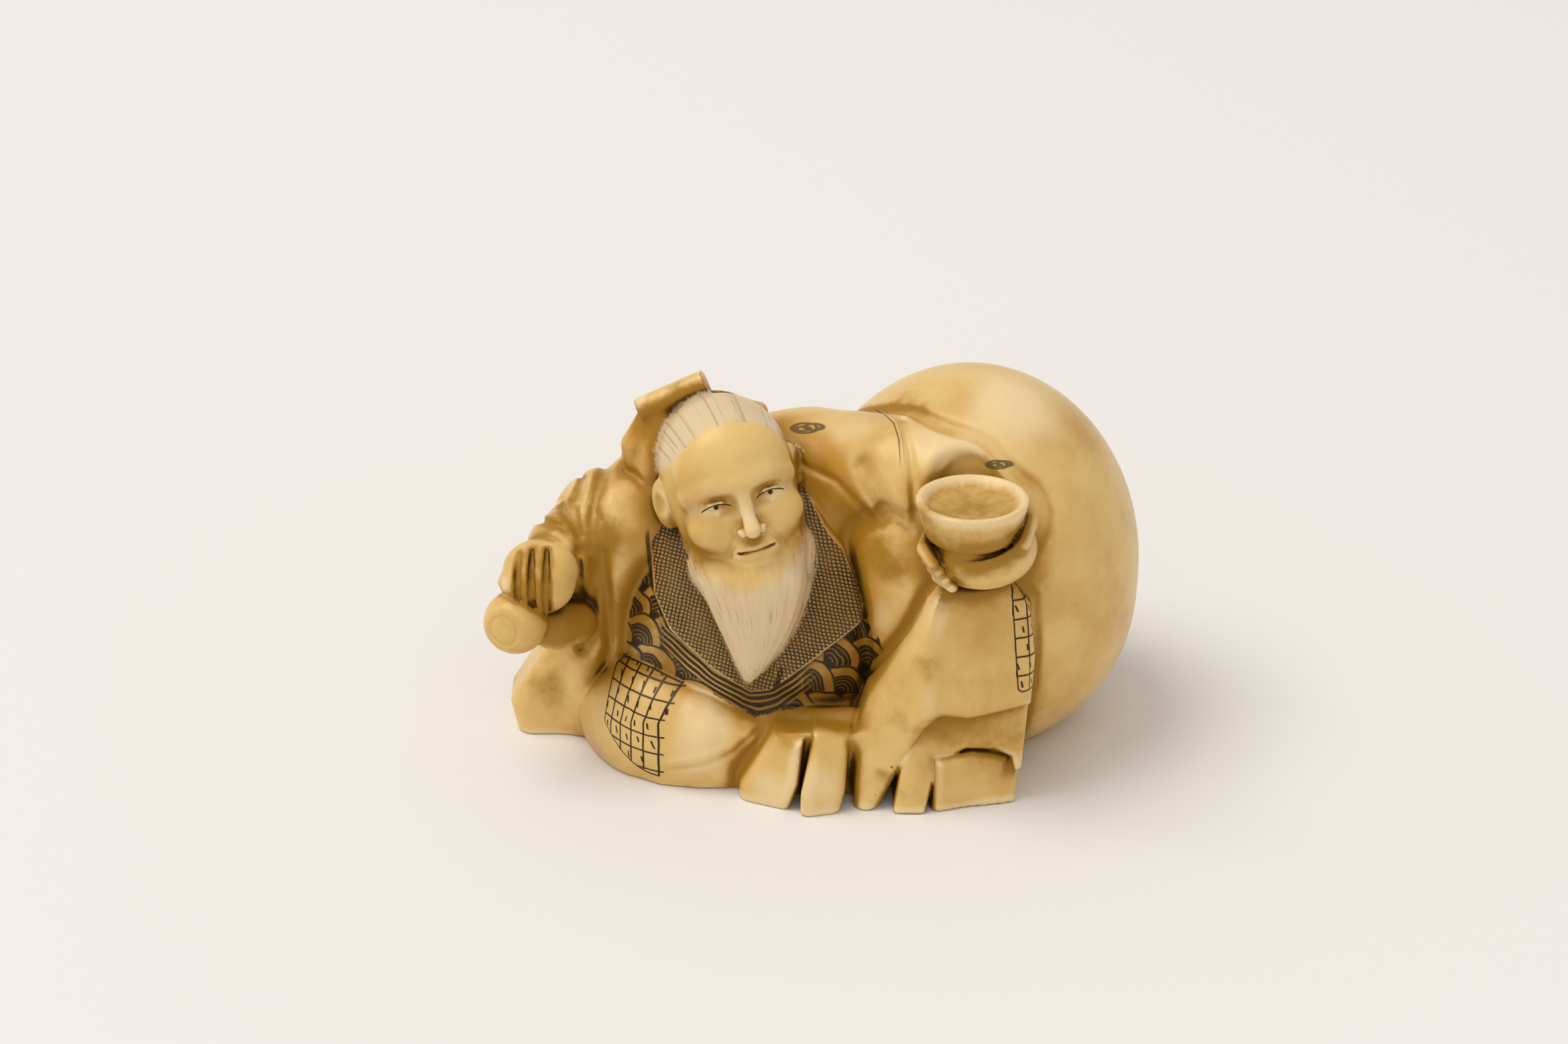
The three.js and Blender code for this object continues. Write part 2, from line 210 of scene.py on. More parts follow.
def collar(p):
    d = keep(keep(swollen_chest(p), outline(p[:, 0], p[:, 2], COLLAR), 0.2), p[:, 1] - 13, 1.5)
    return furrow(p, d, [(-3.1, 8.6), (-2.6, 9.6), (-2.2, 11.0)], 0.12, 0.35)


def on_collar(p):
    """how far a point lies inside the hatched cloth, in from its edge and clear of head and beard"""
    cloth = np.minimum(-outline(p[:, 0], p[:, 2], COLLAR), 0.5 - np.abs(swollen_chest(p)))
    return np.minimum(np.minimum(cloth, beard(p) - 0.1), np.minimum(head(p) - 0.1, 14 - p[:, 1]))


notes["collar"] = on_collar
notes["hem_of_collar"] = lambda p: outline(p[:, 0], p[:, 2], COLLAR)


class Amount:
    """a number that changes over the surface, worked out by the finish's nodes"""

    def __init__(self, tree, socket):
        self.tree, self.socket = tree, socket

    def work(self, how, *others):
        made = self.tree.nodes.new("ShaderNodeMath")
        made.operation = how
        for socket, value in zip(made.inputs, (self, *others)):
            if isinstance(value, Amount):
                self.tree.links.new(value.socket, socket)
            else:
                socket.default_value = value
        return Amount(self.tree, made.outputs[0])

    def __add__(self, other):
        return self.work("ADD", other)

    def __sub__(self, other):
        return self.work("SUBTRACT", other)

    def __mul__(self, other):
        return self.work("MULTIPLY", other)

    def rise(self, start, end):
        """0 before start and 1 after end, with an eased slope between them"""
        made = self.tree.nodes.new("ShaderNodeMapRange")
        made.interpolation_type = "SMOOTHSTEP"
        self.tree.links.new(self.socket, made.inputs["Value"])
        made.inputs["From Min"].default_value, made.inputs["From Max"].default_value = start, end
        return Amount(self.tree, made.outputs["Result"])

    def line(self, half, edge=0.03):
        """a drawn line where the amount passes nothing"""
        return self.work("ABSOLUTE").rise(half + edge, half - edge)

    def combs(self, spacing, half):
        """lines at even spacing"""
        off = (self.work("DIVIDE", spacing).work("FRACT") - 0.5).work("ABSOLUTE")
        return off.rise((half + 0.03) / spacing, (half - 0.03) / spacing)


class Dye:
    """what a colour of the finish may look at: the point's place in millimetres, its notes, and noise"""

    def __init__(self, tree):
        self.tree = tree
        place = tree.nodes.new("ShaderNodeMapping")
        tree.links.new(tree.nodes.new("ShaderNodeTexCoord").outputs["Object"], place.inputs["Vector"])
        place.inputs["Location"].default_value = -SHIFT
        place.inputs["Scale"].default_value = (1 / MM,) * 3
        self.place = place.outputs["Vector"]
        split = tree.nodes.new("ShaderNodeSeparateXYZ")
        tree.links.new(self.place, split.inputs["Vector"])
        self.x, self.y, self.z = (Amount(tree, socket) for socket in split.outputs)
        self.v = self.z * np.cos(DOWN) + self.y * np.sin(DOWN)
        self.made = {}

    def drawn(self, pattern):
        """a pattern that several colours use, made once"""
        if pattern not in self.made:
            self.made[pattern] = self.patterns[pattern](self)
        return self.made[pattern]

    def note(self, name):
        made = self.tree.nodes.new("ShaderNodeAttribute")
        made.attribute_name = name
        return Amount(self.tree, made.outputs["Fac"])

    def noise(self, size, detail=2.0, stretch=(1, 1, 1), seed=0.0):
        """cloudy unevenness with lumps of about this size, between -1 and 1"""
        shift = self.tree.nodes.new("ShaderNodeMapping")
        self.tree.links.new(self.place, shift.inputs["Vector"])
        shift.inputs["Location"].default_value = (seed * 7.1, seed * 3.3, seed * 5.7)
        shift.inputs["Scale"].default_value = tuple(1 / (size * s) for s in stretch)
        made = self.tree.nodes.new("ShaderNodeTexNoise")
        self.tree.links.new(shift.outputs["Vector"], made.inputs["Vector"])
        made.inputs["Scale"].default_value, made.inputs["Detail"].default_value = 1.0, detail
        return (Amount(self.tree, made.outputs["Fac"]) - 0.5) * 2.6

    def along(self, degrees):
        """distance across the front view in one direction"""
        return self.x * np.cos(np.radians(degrees)) + self.v * np.sin(np.radians(degrees))


def hatching(dye):
    shake = dye.noise(1.1, 2) * 0.09
    right = dye.x.rise(OVERLAP - 0.1, OVERLAP + 0.1)
    lines = None
    for side, angles in ((right * -1 + 1, (74, -12)), (right, (80, 12))):
        for angle, spacing in zip(angles, (0.26, 0.285)):
            drawn = (dye.along(angle) + shake).combs(spacing, 0.05) * side
            lines = drawn if lines is None else lines.work("MAXIMUM", drawn)
    on = dye.note("collar") + shake
    return lines * on.rise(0.12, 0.2) * (dye.noise(2.2, 2, seed=5).rise(-1.0, 0.6) * 0.25 + 0.75)


def undercut_ink_and_shadow(dye):
    """the black line round the collar's free edge, partly ink and partly painted shadow cast by the raised
    band
    """
    edge = dye.note("hem_of_collar")
    front = dye.y.rise(12.5, 11.0) * (dye.v + dye.x.rise(0, 2) * 6).rise(21.5, 20.5)
    thick = dye.noise(2.5, 1, seed=3) * 0.06
    return (edge - 0.12 + thick).line(0.14, 0.06) * front * dye.note("collar").rise(-0.7, -0.3)


def ground_of_collar(dye):
    return dye.note("collar").rise(0.0, 0.25) * 0.8


BLACK, SEPIA, TANNED = (0.010, 0.005, 0.001), (0.07, 0.033, 0.008), (0.33, 0.18, 0.055)
inks += [(TANNED, ground_of_collar), (BLACK, hatching), (BLACK, undercut_ink_and_shadow)]

# The cloth of the robe below the collar is engraved with rolling water, a common pattern on carved
# dress: pale crests left standing in a ground of black strokes, and long pale lines that follow the collar.
CREST, CREST_ROW = 2.0, 1.25


def on_water(p):
    """how far a point lies inside the engraved part of the chest"""
    x, v = showing(p)[:, :2].T
    limits = [
        outline(p[:, 0], p[:, 2], COLLAR) + 0.05,
        np.where(x > 1, 1.3, 0.45) - np.abs(np.minimum(trunk(p), lap(p))),
        18.6 - v + 0.25 * (x + 12),
        x + 13.9,
        4.0 + np.clip(14.6 - v, 0, 3) - x,
        13.5 - p[:, 1],
        v - 7.7 - 0.22 * (x + 3),
        np.where(x > -1, 14.6 - v, 9),
    ]
    others = [form(p) - 0.1 for form in (folded_leg, front_folds, raised_leg, right_sleeve)]
    return np.minimum.reduce(limits + others)


notes["water"] = on_water


def crests(dye):
    """overlapping arcs of water, each one pale along its back and combed with strokes below it"""
    u = dye.along(-38) + dye.noise(2.6, 1, seed=7) * 0.42
    w = dye.along(52) + dye.noise(2.2, 1, seed=8) * 0.38
    row = w.work("DIVIDE", CREST_ROW).work("FLOOR")
    turns = []
    for below in (1, 0):
        this = row - below
        dx = (((u * (0.5 / CREST) + (this * 0.5).work("FRACT")).work("FRACT")) - 0.5) * (2 * CREST)
        dw = w - this * CREST_ROW
        turns.append((dx * dx + dw * dw).work("SQRT"))
    front = turns[0].rise(CREST + 0.02, CREST - 0.02)
    r = turns[0] * front + turns[1] * (front * -1 + 1)
    pale = r.rise(CREST * 0.6, CREST * 0.64) * r.rise(CREST * 0.95, CREST * 0.88)
    fine = (r + dye.noise(0.8, 1, seed=9) * 0.05).combs(0.3, 0.04) * r.rise(CREST * 0.56, CREST * 0.5) * 0.6
    return pale.work("MAXIMUM", fine)


def water(dye):
    hem = dye.note("hem_of_collar")
    stream = (hem + dye.noise(3.0, 1, seed=11) * 0.2 + dye.x * 0.02).combs(0.42, 0.075)
    left = dye.x.rise(-11.4, -10.2) * dye.x.rise(0.6, -1.2)
    left = left * (hem + dye.noise(2, 1, seed=4) * 0.25).rise(2.1, 1.7)
    pale = stream * left + crests(dye) * (left * -1 + 1)
    on = (dye.note("water") + dye.noise(0.7, 2, seed=12) * 0.12).rise(0.02, 0.14)
    return on * (pale * -0.85 + 1)


STROKES = (0.022, 0.011, 0.003)
inks += [(STROKES, water)]
spots_of_stain_and_shade += [
    (-11.7, 9.8, 10.3, 1.6, 0.9), (-12.5, 11, 11.9, 1.4, 0.9), (-10.2, 8.5, 8.7, 1.6, 0.8),
    (3.5, 7.6, 8, 1.6, 0.8), (1, 6.8, 7.3, 1.6, 0.8), (-5.1, 6.6, 7.4, 1.8, 0.8),
]


# The two wide sleeves. The right one falls from the shoulder to the ground behind the hand with the
# flask; the left one comes forward round the sack to the hand with the cup. Folds are gouged across
# them, a double line marks the seam of the left one, and small clouds are engraved on the shoulders.
def right_sleeve(p):
    shoulder = strand(p, [(-10.5, 17, 16.8, 5.1), (-14.3, 15.4, 15.9, 4.7), (-17.6, 12.3, 15.7, 3.0)])
    hanging = strand(p, [(-15.3, 13.3, 14, 2.9), (-15.5, 13.8, 8, 2.7), (-15.8, 14.6, 2, 2.6)])
    trailing = [(-14.5, -1), (-21.5, -1), (-22.2, 2.4), (-20, 6), (-17.4, 8.8), (-14.5, 8)]
    trail = sheet(p, trailing, 13.2, 5.6, 1.3)
    d = blend(blend(shoulder, hanging, 1.2), trail, 1.2)
    d = furrow(p, d, [(-14.6, 26.4), (-15.2, 24.5), (-15.9, 21), (-15.5, 18.4), (-16, 15)], 0.55, 0.5)
    d = furrow(p, d, [(-16.6, 24.6), (-17.2, 22.8), (-16.6, 20.6)], 0.4, 0.35)
    d = furrow(p, d, [(-18.0, 22.6), (-17.2, 21.2), (-16.2, 19.4)], 0.35, 0.35)
    d = furrow(p, d, [(-16.9, 19.4), (-16.6, 16), (-16.8, 12.4)], 0.4, 0.5)
    d = furrow(p, d, [(-19.6, 21.6), (-18, 21.2), (-16.6, 19.5)], 0.3, 0.35)
    return furrow(p, d, [(-15.0, 19.4), (-14.8, 16), (-14.7, 12.4), (-15.6, 9.0)], 0.45, 0.5)


def left_sleeve(p):
    arm = [(0.5, 17.6, 19.3, 4.7), (6.6, 13.3, 21.0, 4.7), (10.3, 11.2, 20.8, 4.4), (13.2, 10.2, 19.2, 3.8)]
    d = strand(p, arm)
    d = blend(d, strand(p, [(12, 10.8, 18.2, 4.2), (11, 8.4, 16.8, 3.1)]), 1.0)
    d = furrow(p, d, [(6.5, 28.6), (7.0, 26.2), (7.2, 22.8), (7.5, 20.3)], 0.3, 0.22)
    x, y, z = CUP
    return cut(d, strand(p, [(x, y + 0.3, z + 2, 4.5), (x, y + 1.5, z + 8, 6)]), 0.3)


SEAM = [(4.4, 30.0), (5.2, 29.4), (5.95, 28.6), (6.25, 27.4), (6.35, 25.4)]


def beside(p, line):
    """distance from a line in the showing plane, less than nothing on its left"""
    q = showing(p)[:, :2]
    near = np.full(len(p), 1e9, np.float32)
    for a, b in zip(np.float32(line[:-1]), np.float32(line[1:])):
        along, away = b - a, q - a
        t = np.clip(away @ along / (along @ along), 0, 1)
        away = away - t[:, None] * along
        d = np.hypot(*away.T) * np.sign(along[0] * away[:, 1] - along[1] * away[:, 0])
        near = np.where(np.abs(d) < np.abs(near), d, near)
    return near


notes["seam"] = lambda p: np.clip(beside(p, SEAM), -2, 2)
notes["on_sleeves"] = lambda p: np.clip(
    0.3 - np.minimum(np.abs(np.minimum(left_sleeve(p), trunk(p))), np.abs(right_sleeve(p))), -1, 1
)


def seam(dye):
    side = dye.note("seam") + dye.noise(2, 1, seed=14) * 0.05
    lines = (side + 0.1).line(0.05).work("MAXIMUM", (side - 0.2).line(0.02) * 0.6)
    where = dye.note("on_sleeves").rise(-0.1, 0.1) * dye.v.rise(25.2, 26.6)
    return lines * where * dye.y.rise(21, 18) * 0.85


def cloud(dye, x, v, size, front=True):
    """a little curled cloud of three strokes"""
    du, dv = dye.x - x + dye.noise(0.9, 1, seed=x) * 0.08, dye.v - v
    drawn = None
    for cx, cv, wide, tall in ((-0.1, 0, 0.9, 0.36), (-0.25, -0.05, 0.5, 0.17), (0.55, 0.08, 0.65, 0.24)):
        a, b = (du - cx * size) * (1 / (wide * size)), (dv - cv * size) * (1 / (tall * size))
        ring = ((a * a + b * b).work("SQRT") - 1) * (0.7 * tall * size)
        stroke = ring.line(0.05)
        drawn = stroke if drawn is None else drawn.work("MAXIMUM", stroke)
    side = dye.y.rise(20, 18.5) if front else dye.y.rise(18.5, 20)
    return drawn * side


def clouds(dye):
    marks = (
        cloud(dye, -0.4, 28.3, 1.0)
        .work("MAXIMUM", cloud(dye, 13.2, 25.6, 0.8))
        .work("MAXIMUM", cloud(dye, -13.6, 26.8, 0.9))
        .work("MAXIMUM", cloud(dye, -7, 21, 1.2, front=False))
    )
    return marks * dye.note("on_sleeves").rise(-0.1, 0.05) * 0.85


inks += [(SEPIA, seam), (SEPIA, clouds)]
stained_lines += [
    ([(3.4, 12.4, 23, 0), (4.8, 11.2, 20.8, 0), (6.2, 10, 18.4, 0), (7.6, 8.6, 16.6, 0)], 0.9, 0.7),
    ([(-17.2, 11, 18.6, 0), (-16.8, 10.6, 14.5, 0), (-17, 11, 11, 0)], 0.8, 0.7),
    ([(-15, 11, 17, 0), (-14.8, 11, 10, 0)], 0.8, 0.7),
]
spots_of_stain_and_shade += [
    (-15.6, 10.6, 15.7, 1.6, 0.8), (-15.9, 11.1, 12.8, 1.6, 0.8), (-15.7, 10.1, 10.5, 1.6, 0.7),
    (-14.9, 10.9, 17.5, 1.5, 0.6), (-18.1, 12.7, 18.5, 1.6, 0.5), (-19.2, 10.8, 17.8, 1.2, 0.6),
    (-17.6, 12.3, 6.1, 2.0, -0.1), (-18.9, 13.2, 3.9, 2.2, 0.3), (3, 10.3, 19.7, 1.3, 0.8),
    (1, 12.3, 22.6, 1.2, 0.4), (5, 8.2, 17.9, 1.4, 0.7), (-15.2, 13.1, 19.4, 1.8, 0.6),
    (3, 13.7, 24.7, 2.8, -0.6), (8.9, 10.5, 25.1, 2.4, -0.8), (5.2, 6.9, 12.3, 1.5, -1.1),
    (4.9, 7.6, 14.3, 1.2, -0.5), (5.6, 7.2, 16.4, 1.2, 0.5), (4.6, 11.4, 21.4, 1.4, 0.5),
    (8.6, 7.4, 17.0, 1.1, 0.7), (9.5, 12.5, 25.4, 1.2, 0.5), (1.6, 12.6, 21.0, 0.8, 0.5),
    (-16.9, 10.5, 15.6, 1.1, 0.8), (-16.4, 11, 11.5, 1.3, 0.8), (-15.2, 11.5, 17.8, 1.6, 0.7),
    (-18.2, 11.5, 18.6, 1.2, 0.6), (-14.8, 11.6, 10, 1.3, 0.7), (-14.3, 15, 21, 1.5, 0.4),
    (-16, 11.5, 7, 2.2, 0.5), (-20.4, 13, 4.5, 1.8, 0.5), (-17.4, 13.4, 21.4, 1.6, 0.4),
]

# The folded right leg, a swelling form that ends in a soft point over the pleats. Its cloth is engraved
# with a net of squares with a small tick in each, and a hem line runs along its lower side.
def folded_leg(p):
    d = egg(p, (-10.6, 11, 2.4), (7.6, 4.8, 5.3), turn=-38)
    d = blend(d, strand(p, [(-11, 10.3, 2.8, 4.5), (-8, 8.2, 2.9, 3.5), (-4.4, 6.0, 4.3, 1.1)]), 1.5)
    d = blend(d, strand(p, [(-9, 8.4, 1, 3.3), (-6.3, 6.5, 1.2, 1.5)]), 1.0)
    d = furrow(p, d, [(-4.2, 7.0), (-5.8, 5.4), (-7.8, 4.6), (-10.4, 4.1)], 0.35, -0.1)
    return furrow(p, d, [(-4.0, 6.5), (-5.7, 4.9), (-7.8, 4.1), (-10.4, 3.7)], 0.22, 0.12)


NET_X, NET_V, NET_ROW, NET_COLUMNS, NET_TOP, NET_END = -11.03, 6.02, 1.25, 4.6, 3.5, 4.25


def net_on_leg(p):
    """column, row and distance in from the border of the net on the folded leg"""
    x, v = showing(p)[:, :2].T
    t = x - NET_X
    spread = np.clip(3.5 + 0.8 * t, 0, 5)
    t = t - (0.1 + 0.1 * spread) * np.maximum(v - NET_V - 1, 0)
    column = 4.01 + 0.768 * t - 0.108 * t * t
    row = (v - NET_V - 0.075 * t * t + 0.13 * t) / NET_ROW
    bottom = row + 2.31 - 0.064 * (NET_COLUMNS - column) ** 2
    inside = np.minimum(np.minimum(column + 0.8, NET_END - column), -8.2 - x)
    inside = np.minimum(inside, np.minimum(bottom, NET_TOP - row) * NET_ROW)
    others = np.minimum(np.minimum(trunk(p), collar(p)), right_sleeve(p)) - 0.1
    return column, row, np.minimum(np.minimum(inside, others), 0.4 - np.abs(folded_leg(p)))


# The raised left leg under its cloth: a flat front panel, a turned-under layer behind its straight hem,
# and the square toe of the shoe. The same net runs in a narrow strip down the panel's outer edge.
def panel_front(x, z):
    return 1.8 + 0.23 * (z - 7.3) + 0.17 * (x - 8) + 0.02 * (x - 11.8) ** 2


def flap(p):
    x, z = p[:, 0], p[:, 2]
    sweep = 0.27 * (7.4 - x + np.hypot(7.4 - x, 0.9)) * np.clip(z / 9, 0, 1) + 0.2 * np.maximum(z - 7, 0)
    right_edge = [(9.2, 16.6), (8.4, 6.9), (6.3, 2.9), (4.3, -1)]
    left_edge = [(3, -1), (2.9, 1.8), (3, 5), (4, 8), (5.5, 10.4), (7, 13), (8.2, 15.6)]
    return sheet(p, right_edge + left_edge, 1.8 + sweep, 4.8, 1.0)


def raised_leg(p):
    x, z = p[:, 0], p[:, 2]
    front = panel_front(x, z)
    panel = [(8, 7.5), (11, 7), (15.6, 7.6), (15.9, 11), (15.7, 15), (14.2, 17), (9.4, 16.6), (8.2, 13)]
    over = sheet(p, panel, front, 6, 0.8)
    arch = [(7.8, -1), (9.0, 3.7), (11, 4.6), (13, 4.4), (14.2, 3.7), (14.5, 2.6), (15, 2.8)]
    under = sheet(p, [(5.6, -1)] + arch + [(15.5, 7.8), (7, 7.8)], front + 0.9, 6, 0.35)
    behind = sheet(p, [(8.4, -1), (14.5, -1), (15, 5), (8.4, 5)], front + 1.7, 6, 0.3)
    toe = [(8.5, -1), (14, -1), (14.2, 3.6), (11.5, 4.4), (8.7, 4.1)]
    shoe = sheet(p, toe, 1.5 + 0.34 * (x - 8.5), 4, 0.7)
    return blend(blend(blend(over, flap(p), 1.4), blend(under, behind, 0.2), 0.15), shoe, 0.12)


STRIP_LOW, STRIP_HIGH, STRIP_ROW, STRIP_COLUMN = 8.6, 17.6, 1.36, 1.0


def net_on_panel(p):
    """the same for the strip, which turns the corner of the panel and goes on round its side"""
    x, y, z = p.T
    round_corner = np.maximum(y - panel_front(np.minimum(x, 15.2), z) - 0.15, 0)
    across = x - 14.7 + 0.075 * (z - 8) + round_corner * (x > 14)
    column, row = across / STRIP_COLUMN, (z - STRIP_LOW) / STRIP_ROW
    inside = np.minimum(np.minimum(column * STRIP_COLUMN, STRIP_HIGH - z), z - STRIP_LOW - 0.2)
    others = np.minimum(np.minimum(sack(p), left_hand(p)), left_sleeve(p)) - 0.1
    return column, row, np.minimum(np.minimum(inside, others), 0.4 - np.abs(raised_leg(p)))


def net_note(which):
    return lambda p: np.where(p[:, 0] < 2, net_on_leg(p)[which], net_on_panel(p)[which])


notes["net_column"], notes["net_row"], notes["net_inside"] = net_note(0), net_note(1), net_note(2)


def net(dye):
    shake = dye.noise(1.4, 2, seed=20) * 0.045
    column, row = dye.note("net_column") + shake, dye.note("net_row") - shake
    inside = dye.note("net_inside")
    lines = (column + 0.5).combs(1, 0.062).work("MAXIMUM", (row + 0.5).combs(1, 0.048))
    ticks = (column + row * 0.25 + dye.noise(1.7, 0, seed=21) * 0.2).combs(1, 0.07)
    ticks = ticks * (row + dye.noise(1.5, 0, seed=22) * 0.12).combs(1, 0.17)
    border = (inside - 0.02).line(0.05) * column.rise(NET_END - 0.1, NET_END - 0.4)
    on = (inside + dye.noise(0.8, 1, seed=23) * 0.12).rise(-0.05, 0.0)
    return (lines.work("MAXIMUM", ticks) * on).work("MAXIMUM", border * inside.rise(-0.2, -0.1))


inks += [(BLACK, net)]
spots_of_stain_and_shade += [
    (-7.1, 5.7, 5.6, 2.8, -0.8), (-8.6, 4.4, 2.8, 2.0, -0.5), (11.8, 6, 15.6, 1.5, 0.8),
    (11, 3, 6.0, 2.2, 0.25), (12, 3.6, 4.4, 2.0, 0.6), (-4.6, 5.2, 5.6, 1.0, 0.3),
    (-12.8, 8.6, 7.4, 1.8, 0.5), (-15.4, 10.5, 3, 1.6, 0.4), (-8.4, 5.6, 2.4, 1.2, 0.25),
    (14.6, 3.6, 5.4, 0.9, 0.6), (9.4, 2.8, 5.8, 1.2, 0.5),
]

# The skirt of the robe falls forward under him in two thick pleats, sawn apart almost to the ground and
# rubbed pale on their fronts, with brown left in the cuts.
def front_folds(p):
    x, z = p[:, 0], p[:, 2]
    first = [(-5.3, -1), (-1.9, -1), (-0.9, 2.0), (-0.6, 5.3), (-2.7, 5.5), (-5.2, 1.3)]
    second = [(-0.9, -1), (1.8, -1), (2.4, 1.6), (2.7, 5.7), (0.1, 5.8), (-0.8, 1.6)]
    left = sheet(p, first, 2.6 - 0.45 * (x + 3.4) + 0.03 * z * z, 4.5, 0.7)
    right = sheet(p, second, 1 + 0.22 * x + 0.042 * z * z, 5, 0.7)
    floor_of_cuts = sheet(p, [(-2.6, -1), (4.2, -1), (4.2, 5.6), (-2.6, 5.6)], 4.2 - 0.22 * z, 3, 0.3)
    return blend(np.minimum(left, right), floor_of_cuts, 0.35)


spots_of_stain_and_shade += [
    (-3.1, 2.5, 1.6, 1.6, -0.8), (1, 1.4, 2.2, 1.6, -0.7), (-0.9, 4.5, 4, 1.3, 0.4),
    (-5, 4.5, 3, 1.2, 0.5), (-2.2, 4, 6.5, 1.3, 0.5), (1, 4, 6.8, 1.5, 0.5), (3.2, 4, 4, 1.4, 0.4),
    (-1.5, 3.9, 5.4, 1.0, 0.8), (2.2, 3.4, 5.7, 1.0, 0.8), (-3.8, 4.4, 5.5, 0.9, 0.5),
    (1.3, 5.3, 6.1, 1.5, 0.8), (3.1, 7.2, 5.7, 1.5, 0.7), (7.8, 2.7, 11.3, 1.3, 0.7),
    (5.8, 2.6, 7.2, 1.3, 0.6), (4.7, 2.3, 2.9, 0.8, 0.4), (6.4, 1.7, 1.6, 0.9, 0.35),
    (7.0, 2.1, 6.4, 1.0, 0.5), (5.2, 2.3, 2.9, 0.7, 0.6), (7.4, 2.6, 1.5, 1.2, 0.5),
    (4.6, 4.2, 8, 1.5, 0.35),
]

# The right hand, a small round fist over the neck of a gourd flask. The fingers are parted by three
# straight gouges, and the flask lies on its side with its flat base turned out.
FLASK_BASE = np.float32((-21.2, 7.6, 12.3))
FLASK_WAY = np.float32((-0.45, -0.89, 0.05))
GOUGES = [
    [
        (x, 8.85, 17.4, 0.15),
        (x, y + 1.0, 16.7, 0.25),
        (x, y, 15.6, 0.3),
        (x, y - 0.1, 14.6, 0.3),
        (x, y + 0.5, 13.3, 0.25),
    ]
    for x, y in ((-20.95, 6.95), (-19.95, 6.65), (-18.9, 6.65))
]


def right_hand(p):
    back_of_hand = egg(p, (-19.4, 9.6, 15.5), (2.75, 2.2, 2.2))
    d = blend(back_of_hand, egg(p, (-19.6, 8.4, 14.9), (2.65, 1.95, 2.2)), 0.5)
    for gouge in GOUGES:
        d = cut(d, strand(p, gouge), 0.2)
    thumb = strand(p, [(-21.2, 9.4, 15.9, 0.7), (-21.95, 8.4, 15.1, 0.5)])
    return cut(blend(d, thumb, 0.2), strand(p, [(-22.1, 7.9, 15.4, 0.03), (-21.6, 7.8, 15.2, 0.05)]), 0.15)


def flask(p):
    d = egg(p, FLASK_BASE, (2.3, 2.3, 2.3))
    q = p - FLASK_BASE
    face = q @ FLASK_WAY
    rim = np.sqrt(np.maximum((q * q).sum(1) - face * face, 0))
    d = keep(d, face - 1.75, 0.25)
    d = d + 0.1 * np.exp(-(((rim - 1.1) / 0.12) ** 2)) * (face > 0)
    upper_bulb = strand(p, [(-20.2, 8.6, 11.7, 1.3), (-18.6, 9.8, 10.9, 1.8), (-17.2, 10.9, 10.7, 1.7)])
    return blend(d, upper_bulb, 0.4)


# The left hand holds up a wine cup: a thick round bowl on a narrow foot, hollowed only a little, that
# sits in the palm with the finger ends curled up at its side.
CUP = (11.15, 4.5, 21.6)
CUP_SIDE = [
    (-1, -2.9), (2.6, -2.9), (2.7, -1.1), (3.2, -0.6), (3.65, 0.8), (3.9, 1.95), (3.62, 2.05), (2.9, 1.4),
    (-1, 1.2),
]


def cup(p):
    q = p - np.float32(CUP)
    return outline(np.hypot(q[:, 0], q[:, 1]), q[:, 2], CUP_SIDE) - 0.06


def left_hand(p):
    x, y, z = CUP
    palm = egg(p, (x + 0.75, y + 0.5, z - 2.0), (3.9, 3.5, 2.9))
    d = cut(palm, egg(p, (x, y, z + 0.1), (3.6, 3.4, 2.6)), 0.3)
    d = blend(d, strand(p, [(x + 0.3, y + 3.5, z - 4, 3.0), (x, y + 1.2, z - 2.6, 2.0)]), 0.6)
    for i in range(4):
        down = 0.68 * i
        finger = [
            (x - 2.9 + 0.2 * i, y + 0.9, z - 1.4 - down, 0.55),
            (x - 3.3 + 0.35 * i, y - 0.9, z - 1.5 - down, 0.58),
            (x - 2.75 + 0.45 * i, y - 2.1, z - 2.0 - 0.9 * down, 0.42),
        ]
        d = blend(d, strand(p, finger), 0.15)
    thumb = [
        (x + 3.4, y + 2, z - 1, 0.9),
        (x + 3.9, y + 0.1, z + 0.1, 0.7),
        (x + 3.5, y - 1.8, z - 0.6, 0.55),
    ]
    return blend(d, strand(p, thumb), 0.4)


spots_of_stain_and_shade += [
    (11.15, 2.0, 20.2, 1.2, 0.9), (9.3, 2.6, 20.2, 1.0, 0.7), (13, 2.6, 20.2, 1.2, 0.9),
    (11.15, 4.5, 22.9, 3.4, 1.1), (11.2, 1.2, 20.6, 2.0, 0.85), (8.9, 2.0, 20.9, 1.3, 0.5),
    (13.6, 2.0, 21.2, 1.6, 0.7), (8.2, 3.5, 19, 1.3, 0.35), (11, 3.5, 16.4, 1.5, 0.7),
    (-19.4, 8.4, 17.6, 1.5, 0.4), (-18.4, 8.2, 10.6, 1.6, 0.9), (-19.9, 7.4, 12.6, 0.7, 0.7),
    (-18.2, 8.8, 11.5, 1.3, 0.6), (-16.6, 10.5, 12.5, 1.5, 0.6), (-21.4, 6, 13.2, 0.9, 0.2),
    (7.7, 2.6, 23.4, 1.3, 0.6), (-17.0, 8.4, 11.8, 1.6, 0.9), (-16.4, 9.6, 12.4, 1.5, 0.9),
]
stained_lines += [(gouge, 0.3, 1.0) for gouge in GOUGES]

# The old man's head, nodding and turned a little to his right. Its frame is x to his left, y to the back
# of the head, z to the crown. The face is a calm one on even proportions, eyes half way up the head.
HEAD, NOD, LEAN, TURN = (-5.9, 12.0, 21.2), -13, -11, 14


